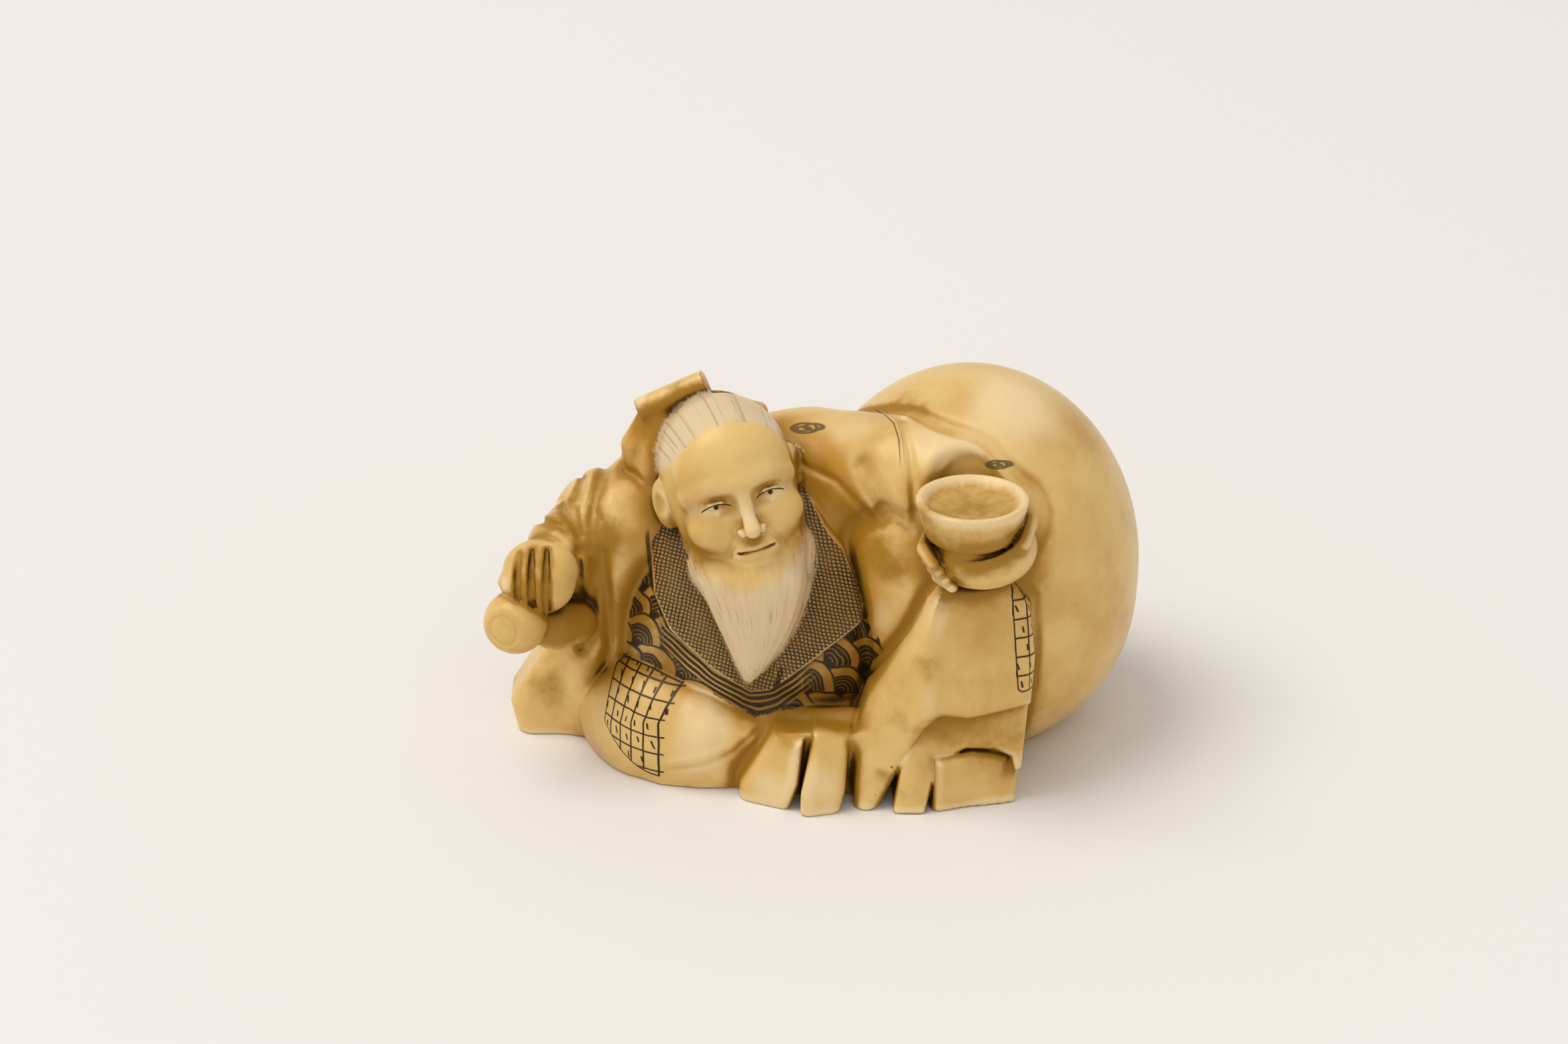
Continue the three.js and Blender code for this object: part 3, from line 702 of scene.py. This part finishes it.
def head_axes():
    a, b, c = np.radians([NOD, LEAN, TURN])
    nod = np.array([[1, 0, 0], [0, np.cos(a), -np.sin(a)], [0, np.sin(a), np.cos(a)]])
    lean = np.array([[np.cos(b), 0, np.sin(b)], [0, 1, 0], [-np.sin(b), 0, np.cos(b)]])
    turn = np.array([[np.cos(c), -np.sin(c), 0], [np.sin(c), np.cos(c), 0], [0, 0, 1]])
    return (turn @ lean @ nod).astype(np.float32)


def in_head(p):
    return (p - np.float32(HEAD)) @ head_axes()


def head(p):
    q = in_head(p)
    m = np.abs(q) * np.float32((1, 0, 0)) + q * np.float32((0, 1, 1))
    upper_lid = [
        (1.0, -5.0, -0.12, 0.1),
        (1.55, -5.25, 0.22, 0.16),
        (2.4, -5.1, 0.2, 0.16),
        (3.05, -4.4, -0.2, 0.1),
    ]
    under_lid = [(1.05, -4.95, -0.25, 0.08), (1.95, -5.12, -0.5, 0.12), (2.85, -4.5, -0.3, 0.08)]
    upper_lip = [(0, -5.55, -3.55, 0.24), (0.4, -5.55, -3.42, 0.22), (1.2, -5.1, -3.68, 0.12)]
    d = egg(q, (0, 0.3, 1.5), (4.7, 5.5, 5.0))
    d = blend(d, egg(q, (0, -1.3, -2.2), (4.35, 4.3, 5.2)), 1.8)
    d = blend(d, egg(q, (0, -3.2, 2.0), (3.9, 2.2, 3.2)), 1.4)
    d = blend(d, strand(m, [(0, -5.25, 1.0, 0.5), (2.1, -4.95, 1.3, 0.5), (3.7, -3.6, 0.6, 0.4)]), 0.9)
    d = cut(d, egg(m, (1.95, -5.85, -0.05), (1.25, 0.85, 0.62)), 0.8)
    d = blend(d, egg(m, (1.95, -4.5, -0.05), (1.0, 0.72, 0.6)), 0.2)
    d = blend(d, strand(m, upper_lid), 0.12)
    d = blend(d, strand(m, under_lid), 0.15)
    d = blend(d, strand(q, [(0, -5.2, 0.7, 0.42), (0, -5.85, -1.2, 0.48), (0, -6.2, -2.1, 0.62)]), 0.5)
    d = blend(d, egg(m, (0.72, -5.55, -2.25), (0.46, 0.58, 0.42)), 0.22)
    d = cut(d, egg(m, (0.42, -5.95, -2.8), (0.2, 0.3, 0.2)), 0.12)
    d = blend(d, egg(m, (2.7, -4.1, -1.7), (1.5, 1.05, 1.3)), 1.1)
    d = blend(d, egg(q, (0, -4.8, -3.9), (1.7, 0.85, 1.2)), 0.8)
    d = cut(d, strand(m, [(1.2, -5.85, -2.4, 0.1), (2.0, -5.15, -3.7, 0.12)]), 0.45)
    d = blend(d, strand(m, upper_lip), 0.15)
    d = blend(d, strand(m, [(0, -5.45, -4.08, 0.28), (1.0, -5.12, -3.92, 0.15)]), 0.18)
    d = cut(d, strand(m, [(0, -5.95, -3.8, 0.1), (1.4, -5.3, -3.74, 0.08)]), 0.12)
    ear = cut(egg(m, (4.7, 0.6, -0.3), (0.95, 1.3, 1.9)), egg(m, (5.5, -0.5, 0.1), (0.55, 0.7, 1.15)), 0.3)
    return blend(d, ear, 0.3)


def head_place(dye):
    """the head's own x, y and z for the finish"""
    steps = [one - start for one, start in zip((dye.x, dye.y, dye.z), HEAD)]
    return [steps[0] * float(a[0]) + steps[1] * float(a[1]) + steps[2] * float(a[2]) for a in head_axes().T]


def face_lines(dye):
    """lids and pupils touched in with black, the parting of the lips with red-brown"""
    x, y, z = head_place(dye)
    side = x.work("ABSOLUTE")
    along = side - 2.0
    front = y.rise(-3.4, -3.8)
    lid = (z + along * along * 0.32 - 0.12).line(0.05) * along.work("ABSOLUTE").rise(1.12, 0.98)
    pupil = (along * along + (z + 0.06) * (z + 0.06)).work("SQRT").rise(0.21, 0.15)
    return lid.work("MAXIMUM", pupil) * front


def lips(dye):
    x, y, z = head_place(dye)
    parting = (z + 3.78 - x * x * 0.03).line(0.07, 0.06)
    return parting * x.work("ABSOLUTE").rise(1.45, 1.1) * y.rise(-3.4, -3.8)


RED_BROWN = (0.16, 0.045, 0.012)
inks += [(BLACK, face_lines), (RED_BROWN, lips)]


# The hair is a short white fringe under the cap, and the beard hangs in one pointed tongue on the chest.
# Both are left matt and pale, scratched with fine strokes that have taken a grey-brown.
BEARD_TOP, BEARD_TIP = 18.2, 8.7


def beard_place(p):
    """where a point lies across the beard, from -1 to 1, how far down it, and the beard's half width"""
    s = np.clip((BEARD_TOP - p[:, 2]) / (BEARD_TOP - BEARD_TIP), 0, 1)
    half = 4.6 * (1 - s**1.2) ** 0.8 + 0.05
    return (p[:, 0] + 5.0 - 3.6 * s + 3.2 * s * s) / half, s, half


def beard(p):
    across, s, half = beard_place(p)
    thick = 2.4 - 1.3 * s
    front = 5.6 - 4.2 * s + 3.1 * s * s
    d = (np.hypot(across, (p[:, 1] - front - thick) / thick) - 1) * np.minimum(half, thick)
    d = keep(keep(d, BEARD_TIP - p[:, 2], 0.5), p[:, 2] - 18.0, 2.0)
    d = blend(d, egg(in_head(p), (0, -2, -5), (4.45, 3.2, 2.6)), 1.0)
    locks = np.sin(23 * across + 1.6 * np.sin(7 * s + 3 * across))
    locks += 0.6 * np.sin(51 * across - 2 * np.sin(9 * s))
    return d + 0.022 * locks * np.clip(s * 5, 0, 1)


def on_hair(p):
    q = in_head(p)
    fringe = q[:, 2] - 5.2 + 0.11 * q[:, 0] ** 2 + 0.2 * (q[:, 1] + 3.9)
    return np.minimum(np.minimum(fringe, cap(p) - 0.1), 0.35 - np.abs(head(p)))


def on_beard(p):
    low = 16.4 + 0.1 * (p[:, 0] + 5.2) ** 2 - p[:, 2]
    return np.minimum(np.clip(low * 0.3, -1, 1), 0.3 - beard(p)) - 0.1


notes["hair"], notes["beard"] = on_hair, on_beard
notes["beard_across"] = lambda p: np.clip(beard_place(p)[0], -1.5, 1.5)
notes["beard_down"] = lambda p: beard_place(p)[1]


def scratches(dye, across, down, spacing, length):
    """fine broken strokes that run along a pair of coordinates"""
    join = dye.tree.nodes.new("ShaderNodeCombineXYZ")
    for socket, value in zip(join.inputs, (across * (1 / spacing), down * (1 / length))):
        dye.tree.links.new(value.socket, socket)
    made = dye.tree.nodes.new("ShaderNodeTexNoise")
    dye.tree.links.new(join.outputs[0], made.inputs["Vector"])
    made.inputs["Scale"].default_value, made.inputs["Detail"].default_value = 1.0, 2.5
    return Amount(dye.tree, made.outputs["Fac"])


def hair_scratches(dye):
    x, y, z = head_place(dye)
    fan = x.work("ARCTAN2", z + 4)
    return scratches(dye, fan, (y * y + z * z).work("SQRT"), 0.026, 2.6)


def beard_scratches(dye):
    return scratches(dye, dye.note("beard_across"), dye.note("beard_down"), 0.036, 0.26)


Dye.patterns = {"hair": hair_scratches, "beard": beard_scratches}


def white(dye):
    ragged = dye.noise(0.5, 2, seed=30) * 0.12
    hair = (dye.note("hair") + ragged + (dye.drawn("hair") - 0.5) * 0.8).rise(-0.05, 0.25)
    low = (dye.note("beard") + ragged + (dye.drawn("beard") - 0.5) * 0.6).rise(-0.25, 0.2)
    return hair.work("MAXIMUM", low) * 0.85


def strokes(dye):
    beard_strokes = dye.drawn("beard").rise(0.56, 0.70)
    middle = dye.note("beard_down").rise(0.02, 0.3) * dye.noise(2.4, 1, seed=31).rise(-0.9, 0.8)
    hair = dye.drawn("hair").rise(0.51, 0.68) * dye.note("hair").rise(0.0, 0.1) * 0.75
    return (beard_strokes * middle * dye.note("beard").rise(0.0, 0.1)).work("MAXIMUM", hair) * 0.6


WHITE, GREY_BROWN = (0.74, 0.57, 0.36), (0.20, 0.135, 0.075)
inks += [(WHITE, white), (GREY_BROWN, strokes)]


# The cap sits on the back of the head and ends at his right in a tied roll of cloth with square ends.
# Both are cut from the same ivory, and the roll is left darker in its folds.
def cap(p):
    q = in_head(p)
    d = keep(egg(q, (0, 0.8, 1.5), (4.95, 5.55, 5.2)), -(q[:, 1] - 4.3 + 0.35 * (q[:, 2] - 1.5)), 0.4)
    return keep(d, -(q[:, 2] + 2.2), 0.5)


def cap_roll(p):
    d = strand(p, [(-13.5, 15.3, 24.9, 0.9), (-6.5, 15.5, 28.1, 0.9)])
    along = (p[:, 0] + 10) * 0.91 + (p[:, 2] - 26.5) * 0.415
    end_hollow = strand(p, [(-13.5, 15.1, 24.9, 0.4), (-11.9, 15.3, 25.6, 0.3)])
    d = cut(keep(d, np.abs(along) - 2.65, 0.12), end_hollow, 0.2)
    tail = [(-11.6, 15.8, 24.8, 0.9), (-12.8, 15.2, 22.8, 0.95), (-12.3, 15.6, 20.0, 1.3)]
    d = blend(d, strand(p, tail), 0.3)
    d = blend(d, strand(p, [(-10.6, 16, 24.6, 1.6), (-11.3, 15.2, 22.6, 1.5), (-11.2, 15, 20, 1.8)]), 0.4)
    return blend(d, strand(p, [(-5.8, 16.6, 25.1, 0.8), (-3.9, 16.2, 24.9, 0.75)]), 0.4)


spots_of_stain_and_shade += [
    (-9.6, 14.7, 27.3, 1.6, 0.7), (-12.1, 14.6, 25.2, 1.3, 1.0), (-9.5, 14.6, 26.2, 1.0, 0.5),
    (-11.2, 14.2, 25.6, 1.0, 0.7), (-11.6, 13.8, 23.4, 1.1, 0.5), (-8.5, 15, 27.2, 2.0, 0.3),
    (-4, 14.6, 25.6, 1.0, 0.4), (-11.4, 12.8, 20.6, 0.9, 0.4),
]

# The whole carving is one piece of ivory. Two cord holes run together through its back, worn at their
# mouths. Its surface is drawn through all the forms as a fine net, thinned where it is plain, and each
# point keeps its notes: what it lies on, and how deep it lies in a hollow.
CORD_HOLES = [
    (-10.5, 27, 9, 1.5), (-8.5, 22.4, 8.6, 1.2), (-5, 21, 8.4, 1.2), (-2, 23, 8.2, 1.2), (-1.5, 29, 8, 1.7),
]


def meet(a, b, groove, width):
    """two forms that touch, with a groove cut along the line where they meet"""
    return np.minimum(a, b) + groove * np.exp(-(a * a + b * b) / width**2)


def tool_marks(p):
    """the slight unevenness that the scraper leaves"""
    x, y, z = p.T
    return 0.005 * np.sin(5 * x + 1.7 * z) * np.sin(5 * z - 1.7 * y)


def carving(p):
    d = blend(trunk(p), right_sleeve(p), 0.5)
    d = chest_folds(p, blend(d, left_sleeve(p), 2.4))
    d = blend(d, collar(p), 0.1)
    d = blend(d, lap(p), 0.8)
    d = blend(d, folded_leg(p), 0.35)
    d = blend(d, raised_leg(p), 0.4)
    d = blend(d, front_folds(p), 0.5)
    d = blend(d, np.minimum(cup(p), left_hand(p)), 0.15)
    d = blend(d, blend(right_hand(p), flask(p), 0.12), 0.2)
    top = blend(blend(head(p), beard(p), 0.3), cap(p), 0.12)
    d = meet(d, blend(top, cap_roll(p), 0.3), 0.12, 0.35)
    d = meet(d, sack(p), 0.3, 0.45)
    d = cut(d, strand(p, CORD_HOLES), 0.3) + tool_marks(p)
    return keep(d, -p[:, 2], 0.25)


def fields(p, rule=carving):
    """a rule at many points, a slice at a time on every core"""
    slices = [p[i : i + 40000].astype(np.float32) for i in range(0, len(p), 40000)]
    with ThreadPoolExecutor(4) as crew:
        return np.concatenate(list(crew.map(rule, slices)))


def draw_net(start, end, step):
    """the surface as points and four-sided faces: one point in each cell that the surface crosses"""
    start, side = np.float32(start), 8 * step
    blocks = np.ceil((np.float32(end) - start) / side).astype(int)
    corners = np.stack(np.meshgrid(*[np.arange(n) for n in blocks], indexing="ij"), -1).reshape(-1, 3)
    rough = fields(start + (corners + 0.5) * side)
    near = np.zeros(blocks * 8 + 1, bool)
    for i, j, k in corners[np.abs(rough) < 1.25 * side] * 8:
        near[i : i + 9, j : j + 9, k : k + 9] = True
    depth = rough.reshape(blocks)
    for axis in range(3):
        depth = np.repeat(depth, 8, axis)
        depth = np.concatenate([depth, depth.take([-1], axis)], axis)
    depth[near] = fields(start + np.argwhere(near) * step)
    cells, places = [], []
    for axis in range(3):
        a = depth.take(range(depth.shape[axis] - 1), axis)
        b = depth.take(range(1, depth.shape[axis]), axis)
        at = np.argwhere((a < 0) != (b < 0))
        a, b = a[tuple(at.T)], b[tuple(at.T)]
        place = at.astype(float)
        place[:, axis] += a / (a - b)
        u, v = np.roll(np.eye(3, dtype=int), -axis - 1, 0)[:2]
        ring = np.stack([at - u - v, at - v, at, at - u], 1)
        ring = np.where((a < 0)[:, None, None], ring, ring[:, ::-1])
        cells.append(np.ravel_multi_index(ring.reshape(-1, 3).T, depth.shape))
        places.append(np.repeat(place, 4, 0))
    order = np.unique(np.concatenate(cells), return_inverse=True)[1]
    places, tally = np.concatenate(places), np.bincount(order)
    points = np.stack([np.bincount(order, places[:, i]) / tally for i in range(3)], 1)
    return start + points * step, order.reshape(-1, 4)


def settle(points, reach):
    """moves points on to the surface, by no more than reach"""
    arms = [side * 0.03 * np.eye(3)[i] for side in (1, -1) for i in range(3)]
    d = fields(np.concatenate([points + arm for arm in arms])).reshape(2, 3, -1)
    slope = (d[0] - d[1]).T / 0.06
    push = fields(points)[:, None] * slope / np.maximum((slope**2).sum(1), 0.3)[:, None]
    return points - np.clip(push, -reach, reach)


STEP, MOST = ((0.15, 192000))
points, quads = draw_net((-25, -0.5, -1.2), (25.5, 32.5, 30.5), STEP)
points = settle(points, 0.4 * STEP)
fine = bpy.data.meshes.new("fine")
fine.vertices.add(len(points))
fine.vertices.foreach_set("co", ((points + SHIFT) * MM).astype(np.float32).ravel())
fine.loops.add(quads.size)
fine.loops.foreach_set("vertex_index", quads.astype(np.int32).ravel())
fine.polygons.add(len(quads))
fine.polygons.foreach_set("loop_start", np.arange(0, quads.size, 4, dtype=np.int32))
fine.update(calc_edges=True)
netsuke = bpy.data.objects.new("netsuke_carving", fine)
bpy.context.scene.collection.objects.link(netsuke)
thinned = netsuke.modifiers.new("thinned", "DECIMATE")
thinned.ratio = min(1.0, MOST / (2 * len(quads)))
mesh = bpy.data.meshes.new_from_object(netsuke.evaluated_get(bpy.context.evaluated_depsgraph_get()))
netsuke.modifiers.clear()
netsuke.data = mesh
mesh.name = "netsuke_carving"
mesh.shade_smooth()


def read(name):
    values = np.zeros(len(mesh.vertices) * 3, np.float32)
    mesh.vertices.foreach_get(name, values)
    return values.reshape(-1, 3)


spots, normals = read("co") / MM - SHIFT, read("normal")
notes["spotted_stain_and_shade"] = lambda p: sum(
    [k * np.exp(-((p - np.float32((x, y, z))) ** 2).sum(1) / r**2) for x, y, z, r, k in spots_of_stain_and_shade]
    + [k * np.exp(-((np.maximum(strand(p, line), 0) / r) ** 2)) for line, r, k in stained_lines]
)
worked_out = {name: fields(spots, rule) for name, rule in notes.items()}
# hollow gauges the fine crevices, where the patina lies; valley gauges the broad hollows between the parts,
# and is used below to paint shade there.
OUTSIDE = {"hollow": (0.25, 0.7, 1.6), "valley": (3.2,)}
for name, reaches in OUTSIDE.items():
    shares = [np.clip(1 - fields(spots + normals * reach) / reach, 0, 1.5) for reach in reaches]
    worked_out[name] = sum(shares) / len(reaches)
INSIDE = (0.35, 0.9)
shares = [np.clip(1 + fields(spots - normals * reach) / reach, 0, 1) for reach in INSIDE]
worked_out["edge"] = sum(shares) / len(INSIDE)
for name, values in worked_out.items():
    mesh.attributes.new(name, "FLOAT", "POINT").data.foreach_set("value", values.astype(np.float32))

# The ivory: pale where it is handled, warm amber where tea stain and grime stay in the hollows, with a
# faint straight grain, and amber as painted shade in the broad valleys, towards the floor and on the sack's
# far side. It was stained, rubbed back and polished, and the engraving filled with black.
RUBBED, PALE, WARM = (0.90, 0.71, 0.41), (0.80, 0.545, 0.20), (0.56, 0.29, 0.05)
AMBER, UMBER = (0.39, 0.19, 0.015), (0.095, 0.040, 0.004)
ivory = bpy.data.materials.new("stained_ivory")
ivory.use_nodes = True
tree = ivory.node_tree
dye = Dye(tree)


def wash(ground, colour, amount):
    """one colour laid over the ground, by an amount from 0 to 1"""
    made = tree.nodes.new("ShaderNodeMix")
    made.data_type, made.clamp_factor = "RGBA", True
    tree.links.new(amount.socket, made.inputs["Factor"])
    for socket, value in ((made.inputs[6], ground), (made.inputs[7], colour)):
        if isinstance(value, tuple):
            socket.default_value = (*value, 1)
        else:
            tree.links.new(value, socket)
    return made.outputs[2]


cloudy = dye.noise(6, 3, seed=40)
speckle = dye.noise(0.7, 3, seed=41)
grain = dye.noise(0.55, 3, stretch=(1, 1.3, 9), seed=42)
hollow, valley, spotted_stain_and_shade = dye.note("hollow"), dye.note("valley"), dye.note("spotted_stain_and_shade")
# low is painted shade: everything darkens towards the floor.
low = dye.z.rise(6, -1)
# The amber is tea stain in the crevices and the spots, and painted shade from valley, from low and from the
# shade spots on the sack.
amber_stain_and_shade = hollow * 1.9 + valley * 0.6 + low * 0.18 - 0.27 + spotted_stain_and_shade * 0.8
amber_stain_and_shade = (amber_stain_and_shade + cloudy * 0.18 + speckle * 0.16 * (spotted_stain_and_shade + 0.5)).rise(0.0, 0.8)
deep = (hollow + speckle * 0.05 + spotted_stain_and_shade * 0.15).rise(0.46, 0.9)
# valley also warms the ground colour between the parts: painted shade.
warmth = cloudy * 0.6 + valley * 0.9 + grain * 0.03 + speckle * 0.1 + 0.32
ground = wash(PALE, WARM, warmth.rise(0.0, 1.0))
ground = wash(ground, RUBBED, (dye.note("edge") - spotted_stain_and_shade * 0.5 + speckle * 0.04).rise(0.08, 0.45) * 0.7)
ground = wash(ground, AMBER, amber_stain_and_shade)
ground = wash(ground, UMBER, deep)
marks = None
for colour, amount in inks:
    amount = amount(dye)
    ground = wash(ground, colour, amount)
    if colour == BLACK:
        marks = amount if marks is None else marks.work("MAXIMUM", amount)
shader = tree.nodes["Principled BSDF"]
tree.links.new(ground, shader.inputs["Base Color"])
shader.inputs["IOR"].default_value = 1.54
shader.inputs["Specular IOR Level"].default_value = 0.36
shader.inputs["Specular Tint"].default_value = (1.0, 0.86, 0.64, 1)
shader.inputs["Subsurface Weight"].default_value = 0.12
shader.inputs["Subsurface Radius"].default_value = (1.0, 0.55, 0.25)
shader.inputs["Subsurface Scale"].default_value = 0.0009
dull = (amber_stain_and_shade * 0.10 + speckle * 0.04 + dye.note("beard").rise(0, 0.1) * 0.14 + 0.31).work("MAXIMUM", 0.2)
tree.links.new(dull.socket, shader.inputs["Roughness"])
relief = tree.nodes.new("ShaderNodeBump")
relief.inputs["Distance"].default_value = 0.00008
relief.inputs["Strength"].default_value = 0.6
height = marks * -1 + grain * 0.05 + speckle * 0.08
tree.links.new(height.socket, relief.inputs["Height"])
tree.links.new(relief.outputs["Normal"], shader.inputs["Normal"])
mesh.materials.clear()
mesh.materials.append(ivory)
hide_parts("netsuke")
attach(netsuke, "root")

# A wide window to the upper left and a weaker one in front, both well away so that the light falls
# evenly, and a pale room.
def window(name, place, power, size, colour):
    light = bpy.data.lights.new(name, "AREA")
    light.energy, light.size, light.color = power, size, colour
    holder = bpy.data.objects.new(name, light)
    bpy.context.scene.collection.objects.link(holder)
    holder.location = place
    holder.rotation_mode = "QUATERNION"
    holder.rotation_quaternion = Vector(place).to_track_quat("Z", "Y")


window("left_window", (-0.60, -0.05, 1.30), 10.6, 0.85, (1.0, 0.985, 0.96))
window("front_window", (0.12, -1.2, 0.96), 2.5, 1.1, (1.0, 0.99, 0.97))
room = bpy.data.worlds.new("room")
bpy.context.scene.world = room
room.use_nodes = True
room.node_tree.nodes["Background"].inputs["Color"].default_value = (1.0, 0.985, 0.965, 1)
room.node_tree.nodes["Background"].inputs["Strength"].default_value = 0.56
bpy.context.scene.view_settings.view_transform = "Standard"

# The floor is a plain sheet of pale paper, wide enough to reach past every view. It is stage alone,
# no part of the carving.
paper = bpy.data.materials.new("pale_paper")
paper.use_nodes = True
paper.node_tree.nodes["Principled BSDF"].inputs["Base Color"].default_value = (0.85, 0.82, 0.785, 1)
paper.node_tree.nodes["Principled BSDF"].inputs["Roughness"].default_value = 0.85
sheet_of_paper = bpy.data.meshes.new("floor")
sheet_of_paper.from_pydata([(-2, -2, 0), (2, -2, 0), (2, 2, 0), (-2, 2, 0)], [], [(0, 1, 2, 3)])
sheet_of_paper.materials.append(paper)
floor = bpy.data.objects.new("floor", sheet_of_paper)
bpy.context.scene.collection.objects.link(floor)
